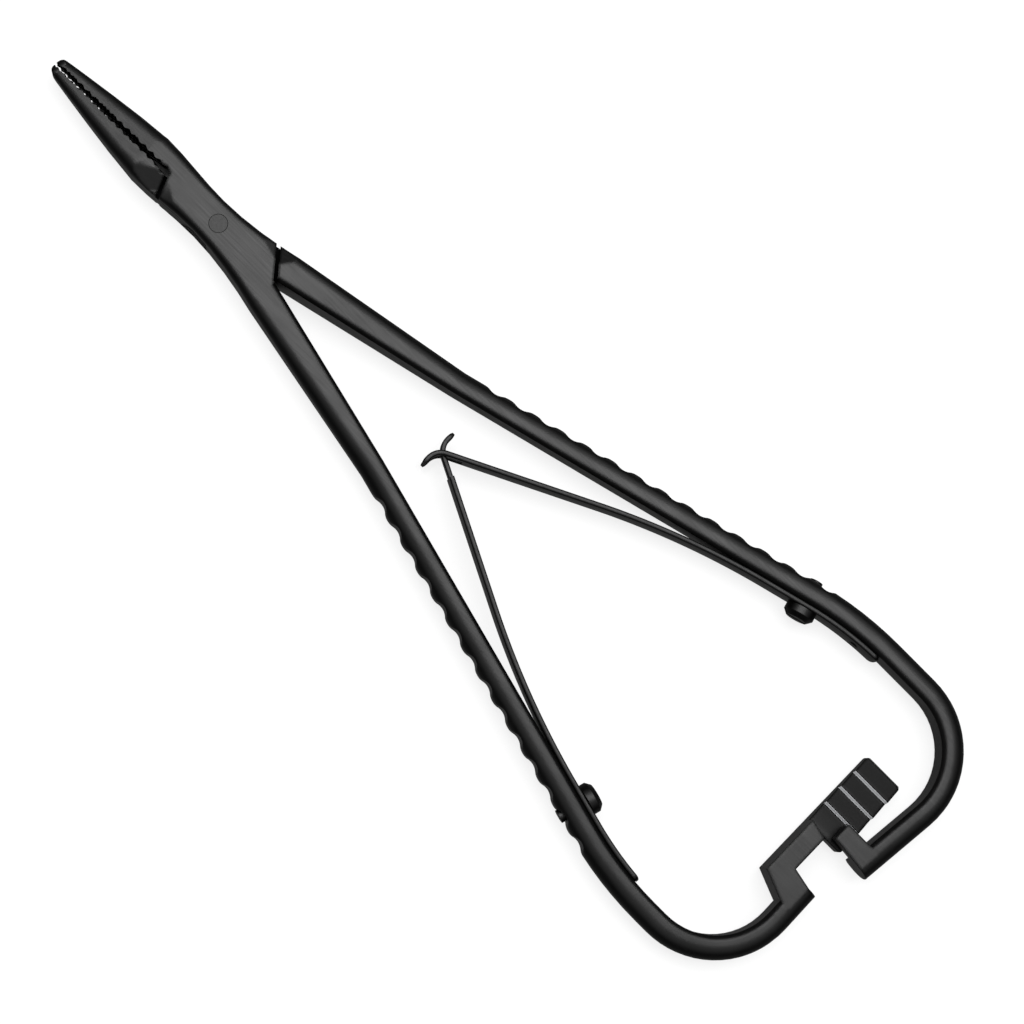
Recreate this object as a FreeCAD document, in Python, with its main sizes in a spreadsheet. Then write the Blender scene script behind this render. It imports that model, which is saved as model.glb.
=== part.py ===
"""Needle holder with squeeze handles, a box lock, a ratchet and two leaf springs.

X runs along the instrument to the jaw tips, Y across it and Z up. The origin is on the pivot
axis, in the plane of the box's underside. Every body is drawn about the middle plane of the
box and then lifted by half the box's thickness.
"""
import FreeCAD
import Part
import Sketcher
import math
import os
import re

# Lengths in millimetres, angles in degrees. An _x size is a distance from the pivot along X.
SIZES = {
    "box_thick": 7.0,
    "face_stock": 0.05,
    "rear_x": 12.0,
    "rear_half": 5.2,
    "rear_curve": 1.7,
    "narrow_x": 2.0,
    "narrow_half": 3.15,
    "belly_x": 14.5,
    "belly_half": 3.87,
    "tip_curve": 1.2,
    "tip_x": 34.4,
    "tip_half": 1.35,
    "tip_thick": 3.2,
    "tip_nose": 1.5,
    "box_round": 1.2,
    "rear_round": 1.6,
    "jaw_round": 1.9,
    "tip_round": 0.9,
    "heel_gap": 0.7,
    "tip_gap": 0.35,
    "tooth_pitch": 1.5,
    "tooth_deep": 0.3,
    "tooth_flat": 0.2,
    "tooth_turn": 45.0,
    "front_reach": 9.86,
    "front_turn": 21.25,
    "rear_reach": 9.1,
    "rear_turn": 40.25,
    "seam_gap": 0.6,
    "waist_thick": 3.1,
    "waist_wide": 4.2,
    "waist_turn": 13.0,
    "lock_clear": 0.05,
    "tunnel_clear": 0.3,
    "tunnel_lip": 0.8,
    "pin_wide": 2.8,
    "pin_clear": 0.04,
    "facet_tilt": 24.0,
    "facet_in": 2.1,
    "facet_wide": 3.6,
    "jaw_facet_turn": 35.3,
    "box_facet_turn": 326.2,
    "back_facet_turn": 165.5,
    "shank_facet_turn": 234.2,
    "crotch_gap": 0.4,
    "grip_x": 42.0,
    "grip_in": 7.33,
    "grip_turn": 14.75,
    "handle_wide": 3.7,
    "handle_thick": 5.4,
    "handle_round": 2.3,
    "handle_bevel": 0.6,
    "bow_half": 28.6,
    "corner_round": 14.5,
    "bow_round": 58.0,
    "box_run": 2.4,
    "through_run": 7.5,
    "box_lean": 1.0,
    "through_lean": 6.5,
    "wave_start": 3.25,
    "wave_pitch": 4.42,
    "wave_deep": 0.62,
    "wave_skim": 0.06,
    "wave_count": 14,
    "box_bar_end": 7.4,
    "neck_drop": 0.7,
    "neck_clear": 1.15,
    "neck_wide": 3.15,
    "neck_high": 9.74,
    "neck_shoulder": 11.66,
    "step_high": 0.48,
    "step_slant": 0.76,
    "rack_clear": 1.6,
    "rack_start": 0.05,
    "rack_end": 13.5,
    "rack_corner": 0.5,
    "ratchet_first": 4.1,
    "ratchet_pitch": 3.2,
    "ratchet_deep": 0.8,
    "ratchet_lean": 0.3,
    "ratchet_count": 4,
    "ratchet_clear": 0.1,
    "pawl_end": 0.05,
    "pawl_slant": 0.6,
    "pawl_edge": 3.6,
    "pawl_reach": 4.1,
    "spring_thick": 0.8,
    "spring_wide": 4.4,
    "spring_seat": 0.04,
    "spring_flat": 7.0,
    "spring_turn": 26.7,
    "cross_x": 47.2,
    "curl_before": 0.5,
    "curl_round": 2.6,
    "curl_turn": 65.0,
    "curl_tip": 1.1,
    "box_tail": 3.9,
    "through_tail": 0.8,
    "fork_slot": 2.4,
    "fork_start": 3.2,
    "tongue_wide": 1.8,
    "tongue_start": 3.8,
    "screw_apart": 9.5,
    "screw_wide": 2.1,
    "screw_clear": 0.05,
    "screw_proud": 0.75,
    "head_wide": 4.8,
    "head_high": 1.8,
    "head_bevel": 0.7,
    "slot_wide": 0.8,
    "slot_deep": 0.7,
    "stud_in": 4.2,
    "stud_wide": 1.4,
    "stud_deep": 1.8,
    "stud_proud": 0.15,
    "stud_bevel": 0.2,
    "margin": 2.0,
}

doc = FreeCAD.newDocument("needle_holder")
sheet = doc.addObject("Spreadsheet::Sheet", "Sizes")
for row, (alias, size) in enumerate(SIZES.items(), start=1):
    sheet.set(f"A{row}", alias)
    sheet.set(f"B{row}", str(size))
    sheet.setAlias(f"B{row}", alias)
doc.recompute()


def linked(expression):
    """Writes the sheet's name before each size in an expression."""
    return re.sub(r"[a-z_]{3,}", lambda word: f"Sizes.{word[0]}" if word[0] in SIZES else word[0],
                  str(expression))


def value(expression):
    """The number that an expression of sizes gives."""
    result = sheet.evalExpression(linked(expression))
    return float(getattr(result, "Value", result))


def origin_part(body, role):
    """One of a body's own origin planes or axes."""
    return next(part for part in body.Origin.OriginFeatures if part.Role == role)


def new_body(label, x="0", y="0", turn="0"):
    """A body whose own middle plane lies at half the height of the box."""
    body = doc.addObject("PartDesign::Body", label)
    body.Label = label
    body.setExpression("Placement", linked(
        f"placement(vector({x}; {y}; box_thick / 2); rotation({turn}; 0; 0))"))
    return body


def new_sketch(body, name, role, offset=None):
    """An empty sketch on one of the body's origin planes, moved and turned in it by an expression."""
    sketch = body.newObject("Sketcher::SketchObject", f"{body.Label}_{name}")
    sketch.AttachmentSupport = [(origin_part(body, role), "")]
    sketch.MapMode = "FlatFace"
    if offset:
        sketch.setExpression("AttachmentOffset", linked(offset))
    return sketch


def arc_between(start, end, radius, turn):
    """The short arc of a radius from start to end; turn is 1 to the left and -1 to the right."""
    chord = end - start
    rise = math.sqrt(max(radius ** 2 - chord.Length ** 2 / 4, 0))
    side = FreeCAD.Vector(-chord.y, chord.x, 0).normalize() * turn
    centre = (start + end) / 2 + side * rise
    first, last = (start, end) if turn > 0 else (end, start)
    angles = [math.atan2(point.y - centre.y, point.x - centre.x) for point in (first, last)]
    return Part.ArcOfCircle(Part.Circle(centre, FreeCAD.Vector(0, 0, 1), radius), *angles)


def bind(sketch, kind, *place):
    """Adds one constraint whose size is the expression at the end of place."""
    *where, expression = place
    index = sketch.addConstraint(Sketcher.Constraint(kind, *where, value(expression)))
    sketch.setExpression(f"Constraints[{index}]", linked(expression))


def draw(sketch, steps, flip=(1, 1), closed=True):
    """Draws a chain of runs. A step is x and y for a straight run to the next step's point, or
    x, y, radius and turn for an arc. A flip of -1 mirrors the chain along that axis."""
    steps = [(f"{flip[0]} * ({x})", f"{flip[1]} * ({y})", *bend) for x, y, *bend in steps]
    points = [FreeCAD.Vector(value(x), value(y), 0) for x, y, *bend in steps]
    first = sketch.GeometryCount
    runs = len(steps) if closed else len(steps) - 1
    ends = []
    for run in range(runs):
        start, end = points[run], points[(run + 1) % len(points)]
        bend = steps[run][2:]
        turn = bend[1] * flip[0] * flip[1] if bend else 1
        edge = arc_between(start, end, value(bend[0]), turn) if bend else Part.LineSegment(start, end)
        sketch.addGeometry(edge)
        ends.append((1, 2) if turn > 0 else (2, 1))
    for run in range(runs if closed else runs - 1):
        after = (run + 1) % runs
        sketch.addConstraint(Sketcher.Constraint("Coincident", first + run, ends[run][1],
                                                 first + after, ends[after][0]))
    for run in range(runs):
        x, y, *bend = steps[run]
        bind(sketch, "DistanceX", first + run, ends[run][0], x)
        bind(sketch, "DistanceY", first + run, ends[run][0], y)
        if bend:
            bind(sketch, "Radius", first + run, bend[0])
    if not closed:
        bind(sketch, "DistanceX", first + runs - 1, ends[-1][1], steps[-1][0])
        bind(sketch, "DistanceY", first + runs - 1, ends[-1][1], steps[-1][1])


def circle(sketch, x, y, radius):
    """Draws one circle."""
    centre = FreeCAD.Vector(value(x), value(y), 0)
    index = sketch.addGeometry(Part.Circle(centre, FreeCAD.Vector(0, 0, 1), value(radius)))
    bind(sketch, "DistanceX", index, 3, x)
    bind(sketch, "DistanceY", index, 3, y)
    bind(sketch, "Radius", index, radius)


def feature(body, kind, name, profile=None, **sizes):
    """A feature of a body. Text sizes are expressions, and anything else is set as it is."""
    made = body.newObject(f"PartDesign::{kind}", f"{body.Label}_{name}")
    if profile:
        made.Profile = profile
    for key, size in sizes.items():
        if isinstance(size, str) and key not in ("SideType", "Type", "Mode"):
            made.setExpression(key, linked(size))
        else:
            setattr(made, key, size)
    body.Tip = made
    return made


def slab(body, kind, name, steps, low, high, flip=(1, 1)):
    """A pad or pocket of an outline in X and Y, between two heights."""
    sketch = new_sketch(body, f"{name}_outline", "XY_Plane",
                        f"placement(vector(0; 0; {low}); rotation(0; 0; 0))")
    draw(sketch, steps, flip)
    return feature(body, kind, name, sketch, Length=f"{high} - ({low})", Reversed=kind == "Pocket")


def through(body, kind, name, steps, thick, flip=(1, 1)):
    """A pad or pocket of an outline in X and Y, even about the middle plane."""
    sketch = new_sketch(body, f"{name}_outline", "XY_Plane")
    draw(sketch, steps, flip)
    return feature(body, kind, name, sketch, Length=thick, SideType="Symmetric")


def mirrored(body, name, original):
    """The same feature on the other side of the body's middle plane."""
    plane = (origin_part(body, "XY_Plane"), [""])
    return feature(body, "Mirrored", name, Originals=[original], MirrorPlane=plane)


# The box and both jaws are one rounded form, from which each lever takes its share.
BOX_HALF = "(box_thick / 2 + face_stock)"
# A span runs between two sections, each with its X, half width, half height and corner radius. The
# half width leaves the middle section of the two by a power or a cosine of the way along.
REAR = ("-rear_x", "rear_half", BOX_HALF, "rear_round")
NARROW = ("narrow_x", "narrow_half", BOX_HALF, "box_round")
BELLY = ("belly_x", "belly_half", BOX_HALF, "jaw_round")
TIP = ("tip_x", "tip_half", "(tip_thick / 2)", "tip_round")
SPANS = (
    (REAR, NARROW, "1 - (1 - {way}) ^ rear_curve"),
    (NARROW, BELLY, "(1 - cos(180 * {way})) / 2"),
    (BELLY, TIP, "{way} ^ tip_curve"),
)
STEPS = 4


def stations():
    """The sections of the form, from the handles' end to the tip."""
    for first, last, curve in SPANS:
        for step in range(STEPS):
            way = f"({step} / {STEPS})"
            shares = (way, f"({curve.format(way=way)})", way, way)
            yield [f"({a} + ({b} - ({a})) * {share})" for a, b, share in zip(first, last, shares)]
    yield list(TIP)


WIDE = "(belly_half + rear_half)"
HIGH = "(box_thick / 2 + margin)"
BEYOND = "(tip_x + margin)"
BEHIND = "(rear_x + margin)"
HEEL_X = "(front_reach / cos(front_turn))"


def rounded_section(wide, high, bend):
    """Half sizes of a rectangle with rounded corners, as a chain of runs."""
    return [
        (f"{wide}", f"-({high} - {bend})"),
        (f"{wide}", f"{high} - {bend}", bend, 1),
        (f"{wide} - {bend}", f"{high}"),
        (f"-({wide} - {bend})", f"{high}", bend, 1),
        (f"-{wide}", f"{high} - {bend}"),
        (f"-{wide}", f"-({high} - {bend})", bend, 1),
        (f"-({wide} - {bend})", f"-({high})"),
        (f"{wide} - {bend}", f"-({high})", bend, 1),
    ]


def front_form(body):
    """The box and jaws in the round, with the two ground faces of the box and the round tip."""
    sections = []
    for number, (x, wide, high, bend) in enumerate(stations()):
        section = new_sketch(body, f"station_{number}", "YZ_Plane",
                             f"placement(vector(0; 0; {x}); rotation(0; 0; 0))")
        draw(section, rounded_section(wide, high, bend))
        sections.append(section)
    feature(body, "AdditiveLoft", "form", sections[0], Sections=sections[1:], Ruled=True)
    faces = [(f"-{BEHIND}", f"-{WIDE}"), (BEYOND, f"-{WIDE}"), (BEYOND, WIDE), (f"-{BEHIND}", WIDE)]
    ground = slab(body, "Pocket", "ground_face", faces, "box_thick / 2", HIGH)
    mirrored(body, "ground_faces", ground)
    nose = [
        ("tip_x - tip_nose", "tip_nose", "tip_nose", -1),
        ("tip_x", "0", "tip_nose", -1),
        ("tip_x - tip_nose", "-tip_nose"),
        ("tip_x - tip_nose", f"-{HIGH}"),
        (BEYOND, f"-{HIGH}"),
        (BEYOND, HIGH),
        ("tip_x - tip_nose", HIGH),
    ]
    through(body, "Pocket", "nose_plan", nose, f"2 * {HIGH}")
    side = new_sketch(body, "nose_side_outline", "XZ_Plane")
    draw(side, nose)
    feature(body, "Pocket", "nose_side", side, Length=f"2 * {WIDE}", SideType="Symmetric")


def front_seam(y, side):
    """X of the seam at the jaws' end; side -1 is the box's edge and 1 the other lever's."""
    return f"((front_reach + {side} * seam_gap / 2 - ({y}) * sin(front_turn)) / cos(front_turn))"


def rear_seam(y, side):
    """X of the seam at the handles' end."""
    return f"(-(rear_reach + {side} * seam_gap / 2 + ({y}) * sin(rear_turn)) / cos(rear_turn))"


def waist_edge(x, side, clear="0"):
    """Y of the waist's long edges."""
    return f"(({x}) * tan(waist_turn) + {side} * (waist_wide / 2 + {clear}) / cos(waist_turn))"


def facet(body, name, x, y, turn, ahead):
    """Takes a corner off both ground faces, along a line that starts from a point, or ends there
    where ahead is 0. The cut lies on the line's left and slopes down."""
    cutter = feature(body, "SubtractiveBox", name, Length=WIDE, Width="facet_wide", Height=HIGH)
    back = f"{1 - ahead} * {WIDE}"
    cutter.setExpression("Placement", linked(
        f"placement(vector({x} - {back} * cos({turn}); {y} - {back} * sin({turn}); box_thick / 2); "
        f"rotation({turn}; 0; -facet_tilt))"))
    mirrored(body, f"{name}_below", cutter)


class Lever:
    """The sizes of one lever's handle. side is 1 for the handle at +Y and -1 at -Y."""

    def __init__(self, name, side):
        self.side = side
        self.flip = (1, side)
        self.lean = f"{name}_lean"
        # The grip's outer line meets the bow's outermost line, and an arc joins the two.
        outer_x = "(handle_wide * sin(grip_turn) - grip_x)"
        outer_y = "(grip_in + handle_wide * cos(grip_turn))"
        reach = f"((bow_half - {outer_y}) / sin(grip_turn))"
        tangent = "(bow_round * tan(grip_turn / 2))"
        self.straight = f"({reach} - {tangent})"
        self.apex_x = f"({reach} * cos(grip_turn) + {tangent} - {outer_x})"
        self.far_x = f"({self.apex_x} + {name}_run)"
        # The foot of each fastener, and of the spring's tail, on the handle's inner face.
        self.tail_x = f"({self.apex_x} - {name}_tail)"
        self.stud_x = f"({self.tail_x} - stud_in)"
        self.screw_x = f"({self.stud_x} - screw_apart)"
        # The middle line of the bar that runs across behind starts where the corner ends.
        self.corner = "(corner_round - handle_wide / 2)"
        self.corner_x = f"(-{self.far_x} - {self.corner} * cos({self.lean}))"
        self.corner_y = f"(bow_half - corner_round - {self.corner} * sin({self.lean}))"

    def bar_x(self, y):
        """X of the middle of the bar behind."""
        return f"({self.corner_x} + ({self.corner_y} - ({y})) * tan({self.lean}))"

    def seat(self, x, inside="0"):
        """Turn and place of a point that lies a distance inside the handle's inner face, square to
        that face's point at -x. The face is straight along the grip and round along the bow."""
        inner = "(bow_round - handle_wide)"
        turn = f"min(asin(({self.apex_x} - {x}) / {inner}) / 1 deg; grip_turn)"
        along = f"(({self.apex_x} - {x} - {inner} * sin({turn})) / cos({turn}))"
        reach = f"({inner} - ({inside}))"
        at_x = f"(-{self.apex_x} + {reach} * sin({turn}) + {along} * cos({turn}))"
        at_y = f"(bow_half - bow_round + {reach} * cos({turn}) - {along} * sin({turn}))"
        return turn, at_x, at_y

    def square_to(self, x, inside="0", height="0"):
        """A placement there whose Z axis points out of the handle."""
        turn, at_x, at_y = self.seat(x, inside)
        return (f"placement(vector({at_x}; {self.side} * {at_y}; {height}); "
                f"rotation({-self.side} * {turn}; 0; {-90 * self.side}))")

    def peg_hole(self, body, name, x, wide, deep):
        """A round hole in a handle or spring, square to the handle's inner face."""
        hole = feature(body, "SubtractiveCylinder", name, Radius=f"{wide} / 2", Height=f"margin + {deep}")
        hole.setExpression("Placement", linked(self.square_to(x, "margin")))


BOX = Lever("box", 1)
THROUGH = Lever("through", -1)
# The ratchet lies inside the through lever's bar, and the neck inside the pawl.
BAR_FACE = f"({THROUGH.bar_x('0')} + handle_wide / 2)"
PAWL_TIP = f"({BAR_FACE} + pawl_reach)"
RACK_OUT = f"({BAR_FACE} + rack_clear)"
NECK_OUT = f"({PAWL_TIP} + neck_clear)"
NECK_IN = f"({NECK_OUT} + neck_wide)"


def bar_section(inner, outer, high, bend, bevel):
    """D-shaped section: flat inner side with bevelled edges, rounded outer side."""
    return [
        (inner, f"-({high} - {bevel})"),
        (f"{inner} + {bevel}", f"-({high})"),
        (f"{outer} - {bend}", f"-({high})", bend, 1),
        (outer, f"-({high} - {bend})"),
        (outer, f"{high} - {bend}", bend, 1),
        (f"{outer} - {bend}", high),
        (f"{inner} + {bevel}", high),
        (inner, f"{high} - {bevel}"),
    ]


def handle(body, lever, bar_end):
    """The shank, the grip, the bow and the bar that runs across behind, then the scallops."""
    across = (lever.side, 1)
    root = new_sketch(body, "shank_root", "YZ_Plane", "placement(vector(0; 0; -rear_x); rotation(0; 0; 0))")
    draw(root, bar_section("crotch_gap / 2", "rear_half", "box_thick / 2", "rear_round", "handle_bevel"),
         across)
    middle_x = "(-grip_x + handle_wide / 2 * sin(grip_turn))"
    middle_y = "(grip_in + handle_wide / 2 * cos(grip_turn))"
    start = new_sketch(body, "grip_section", "YZ_Plane",
                       f"placement(vector({lever.side} * {middle_y}; 0; {middle_x}); "
                       f"rotation(0; {-lever.side} * grip_turn; 0))")
    draw(start, bar_section("-handle_wide / 2", "handle_wide / 2", "handle_thick / 2", "handle_round",
                            "handle_bevel"), across)
    feature(body, "AdditiveLoft", "shank", root, Sections=[start], Ruled=True)
    path = new_sketch(body, "handle_path", "XY_Plane")
    draw(path, [
        (middle_x, middle_y),
        (f"{middle_x} - {lever.straight} * cos(grip_turn)", f"{middle_y} + {lever.straight} * sin(grip_turn)",
         "bow_round - handle_wide / 2", 1),
        (f"-{lever.apex_x}", "bow_half - handle_wide / 2"),
        (f"-{lever.far_x}", "bow_half - handle_wide / 2", lever.corner, 1),
        (lever.corner_x, lever.corner_y),
        (lever.bar_x(bar_end), bar_end),
    ], lever.flip, closed=False)
    feature(body, "AdditivePipe", "grip_and_bow", start, Spine=(path, []))
    scallops(body, lever)


def scallops(body, lever):
    """Finger waves cut across the rounded side of the grip."""
    half = "wave_deep / 2"
    bend = "((wave_pitch * wave_pitch / 16 + wave_deep * wave_deep / 4) / wave_deep)"
    outline = new_sketch(body, "scallop_outline", "XY_Plane",
                         "placement(vector(-grip_x + handle_wide * sin(grip_turn); "
                         f"{lever.side} * (grip_in + handle_wide * cos(grip_turn)); 0); "
                         f"rotation(180 - {lever.side} * grip_turn; 0; 0))")
    draw(outline, [
        ("wave_start", "-wave_skim", bend, -1),
        ("wave_start + wave_pitch / 4", f"-wave_skim - {half}", bend, 1),
        ("wave_start + wave_pitch * 3 / 4", f"-wave_skim - {half}", bend, -1),
        ("wave_start + wave_pitch", "-wave_skim"),
        ("wave_start + wave_pitch", "margin"),
        ("wave_start", "margin"),
    ], (1, -lever.side))
    cut = feature(body, "Pocket", "scallop", outline, Length="handle_thick + margin", SideType="Symmetric")
    feature(body, "LinearPattern", "scallops", Originals=[cut], Direction=(outline, ["H_Axis"]),
            Mode="Spacing", Offset="wave_pitch", Occurrences="wave_count")


def jaw_teeth(body, side):
    """Two sets of fine grooves that cross and leave flat-topped diamond teeth on the jaw's face."""
    face_turn = f"atan((heel_gap - tip_gap) / 2 / (tip_x - {HEEL_X}))"
    line = new_sketch(body, "tooth_line", "XY_Plane",
                      f"placement(vector(0; 0; 0); rotation({-side} * {face_turn}; 0; 0))")
    first_x = f"({HEEL_X} + seam_gap + box_thick / 2)"
    first_y = f"(heel_gap / 2 - ({first_x} - {HEEL_X}) * tan({face_turn}))"
    for name, turn in (("rising", 1), ("falling", -1)):
        groove = new_sketch(body, f"{name}_groove", "YZ_Plane",
                            f"placement(vector({side} * {first_y}; 0; {first_x}); "
                            f"rotation(0; {-side} * {face_turn}; {turn} * tooth_turn))")
        wide = "(tooth_pitch * sin(tooth_turn) - tooth_flat)"
        draw(groove, [("-tooth_deep", f"-{wide}"), ("tooth_deep", "0"), ("-tooth_deep", wide)], (side, 1))
        cut = feature(body, "Pocket", f"{name}_tooth", groove, Length="3 * box_thick", SideType="Symmetric")
        feature(body, "LinearPattern", f"{name}_teeth", Originals=[cut], Direction=(line, ["H_Axis"]),
                Mode="Spacing", Offset="tooth_pitch",
                Occurrences=f"ceil((tip_x - {HEEL_X}) / tooth_pitch)")


def holes(body, lever):
    """The holes for the spring's screw and stud in a handle."""
    lever.peg_hole(body, "screw_hole", lever.screw_x, "(screw_wide + 2 * screw_clear)", "2 * handle_wide")
    lever.peg_hole(body, "stud_hole", lever.stud_x, "(stud_wide + 2 * screw_clear)",
                   "stud_deep + screw_clear")


def build_box_lever():
    """One forging: the jaw at -Y, the box with its tunnel, the handle at +Y, the neck and the rack."""
    body = new_body("box_lever")
    front_form(body)
    lower = "(-heel_gap / 2)"
    through(body, "Pocket", "other_jaw", [
        (front_seam(lower, -1), lower),
        (f"{BEYOND}", "-tip_gap / 2"),
        (f"{BEYOND}", WIDE),
        (front_seam(WIDE, -1), WIDE),
    ], f"2 * {HIGH}")
    crotch = "(crotch_gap / 2)"
    through(body, "Pocket", "other_shank", [
        (rear_seam(crotch, -1), crotch),
        (f"-{BEHIND}", crotch),
        (f"-{BEHIND}", f"-{WIDE}"),
        (rear_seam(f"-{WIDE}", -1), f"-{WIDE}"),
    ], f"2 * {HIGH}")
    front_end = "((waist_wide / 2 + tunnel_clear) / sin(waist_turn) - heel_gap / 2 / tan(waist_turn))"
    rear_end = "(crotch_gap / 2 / tan(waist_turn) - (waist_wide / 2 + tunnel_clear) / sin(waist_turn))"
    through(body, "Pocket", "tunnel", [
        ("tunnel_lip", f"-{WIDE}"),
        ("tunnel_lip", waist_edge("tunnel_lip", -1, "tunnel_clear")),
        (front_end, lower),
        ("belly_x", lower),
        ("belly_x", WIDE),
        ("-tunnel_lip", WIDE),
        ("-tunnel_lip", waist_edge("-tunnel_lip", 1, "tunnel_clear")),
        (rear_end, crotch),
        (f"-{BEHIND}", crotch),
        (f"-{BEHIND}", f"-{WIDE}"),
    ], "waist_thick + 2 * lock_clear")
    facet(body, "front_facet", front_seam("0", 0), "0", "box_facet_turn", 0)
    facet(body, "rear_facet", rear_seam("-facet_in", 0), "-facet_in", "back_facet_turn", 0)
    hole = new_sketch(body, "pin_hole_outline", "XY_Plane")
    circle(hole, "0", "0", "pin_wide / 2 + pin_clear")
    feature(body, "Pocket", "pin_hole", hole, Length="box_thick + margin", SideType="Symmetric")
    handle(body, BOX, "box_bar_end")
    through(body, "Pad", "neck", [
        (BOX.bar_x("neck_shoulder"), "neck_shoulder"),
        (BOX.bar_x("box_bar_end"), "box_bar_end"),
        (NECK_OUT, "box_bar_end - neck_drop"),
        (NECK_OUT, "step_high"),
        (NECK_IN, "step_high - step_slant"),
        (NECK_IN, "neck_high"),
        (f"{BOX.bar_x('neck_shoulder')} + handle_wide / 2", "neck_shoulder"),
    ], "handle_thick")
    rack_top = "(-ratchet_clear / 2)"
    slab(body, "Pad", "rack", [
        (RACK_OUT, "rack_start - rack_corner"),
        (RACK_OUT, "-rack_end + rack_corner", "rack_corner", 1),
        (f"{RACK_OUT} + rack_corner", "-rack_end"),
        (f"{NECK_IN} - rack_corner", "-rack_end", "rack_corner", 1),
        (NECK_IN, "-rack_end + rack_corner"),
        (NECK_IN, "rack_start"),
        (f"{RACK_OUT} + rack_corner", "rack_start", "rack_corner", 1),
    ], "-handle_thick / 2", rack_top)
    tooth = new_sketch(body, "ratchet_outline", "YZ_Plane",
                       f"placement(vector(0; 0; {RACK_OUT} - margin); rotation(0; 0; 0))")
    draw(tooth, [
        ("-ratchet_first", rack_top),
        ("-ratchet_first + ratchet_lean", f"{rack_top} - ratchet_deep"),
        ("-ratchet_first + ratchet_pitch", rack_top),
        ("-ratchet_first + ratchet_pitch", f"{rack_top} + ratchet_lean"),
        ("-ratchet_first", f"{rack_top} + ratchet_lean"),
    ])
    cut = feature(body, "Pocket", "ratchet_notch", tooth, Length=f"{NECK_IN} - {RACK_OUT} + 2 * margin",
                  Reversed=True)
    feature(body, "LinearPattern", "ratchet", Originals=[cut],
            Direction=(origin_part(body, "Y_Axis"), [""]), Reversed=True, Mode="Spacing",
            Offset="ratchet_pitch", Occurrences="ratchet_count")
    jaw_teeth(body, -1)
    holes(body, BOX)


def build_through_lever():
    """One forging: the jaw at +Y, the thin waist inside the box, the handle at -Y and the pawl."""
    body = new_body("through_lever")
    front_form(body)
    between = [
        (front_seam(f"-{WIDE}", 1), f"-{WIDE}"),
        (front_seam(WIDE, 1), WIDE),
        (rear_seam(WIDE, 1), WIDE),
        (rear_seam(f"-{WIDE}", 1), f"-{WIDE}"),
    ]
    upper_layer = slab(body, "Pocket", "upper_layer", between, "waist_thick / 2", HIGH)
    mirrored(body, "lower_layer", upper_layer)
    half = "(waist_wide / 2 / cos(waist_turn))"
    upper = "(heel_gap / 2)"
    rear_x = ("((waist_wide / 2 * sin(rear_turn) - (rear_reach + seam_gap / 2) * cos(waist_turn))"
              " / cos(rear_turn - waist_turn))")
    through(body, "Pocket", "other_jaw", [
        (f"(({upper} + {half}) / tan(waist_turn))", upper),
        (rear_x, waist_edge(rear_x, -1)),
        (rear_seam(f"-{WIDE}", 1), f"-{WIDE}"),
        (BEYOND, f"-{WIDE}"),
        (BEYOND, "tip_gap / 2"),
    ], f"2 * {HIGH}")
    front_x = ("(((front_reach + seam_gap / 2) * cos(waist_turn) - waist_wide / 2 * sin(front_turn))"
               " / cos(front_turn - waist_turn))")
    crotch = "(crotch_gap / 2)"
    through(body, "Pocket", "other_shank", [
        (front_x, waist_edge(front_x, 1)),
        (front_x, WIDE),
        (f"-{BEHIND}", WIDE),
        (f"-{BEHIND}", f"-{crotch}"),
        (f"(-({half} + {crotch}) / tan(waist_turn))", f"-{crotch}"),
    ], f"2 * {HIGH}")
    facet(body, "front_facet", front_seam("0", 2), "0", "jaw_facet_turn", 1)
    hole = new_sketch(body, "pin_hole_outline", "XY_Plane")
    circle(hole, "0", "0", "pin_wide / 2 + pin_clear")
    feature(body, "Pocket", "pin_hole", hole, Length="box_thick + margin", SideType="Symmetric")
    handle(body, THROUGH, "pawl_end")
    facet(body, "rear_facet", rear_seam("-facet_in", 1), "-facet_in", "shank_facet_turn", 1)
    underside = "(ratchet_clear / 2)"
    slab(body, "Pad", "pawl_arm", [
        (THROUGH.bar_x("pawl_end"), "pawl_end"),
        (PAWL_TIP, "pawl_end + pawl_slant"),
        (PAWL_TIP, "pawl_edge"),
        (THROUGH.bar_x("pawl_edge"), "pawl_edge"),
    ], underside, "handle_thick / 2", THROUGH.flip)
    tooth = new_sketch(body, "pawl_outline", "YZ_Plane",
                       f"placement(vector(0; 0; {BAR_FACE}); rotation(0; 0; 0))")
    draw(tooth, [
        ("-pawl_edge", underside),
        ("0", f"{underside} + ratchet_deep"),
        ("0", f"{underside} - ratchet_clear"),
        ("-pawl_edge", f"{underside} - ratchet_clear"),
    ])
    feature(body, "Pocket", "pawl_slope", tooth, Length="pawl_reach + margin", Reversed=True)
    jaw_teeth(body, 1)
    holes(body, THROUGH)


def build_pin():
    """Pivot pin, ground flush with both faces of the box."""
    body = new_body("pivot_pin")
    outline = new_sketch(body, "outline", "XY_Plane")
    circle(outline, "0", "0", "pin_wide / 2")
    feature(body, "Pad", "shank", outline, Length="box_thick", SideType="Symmetric")


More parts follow.
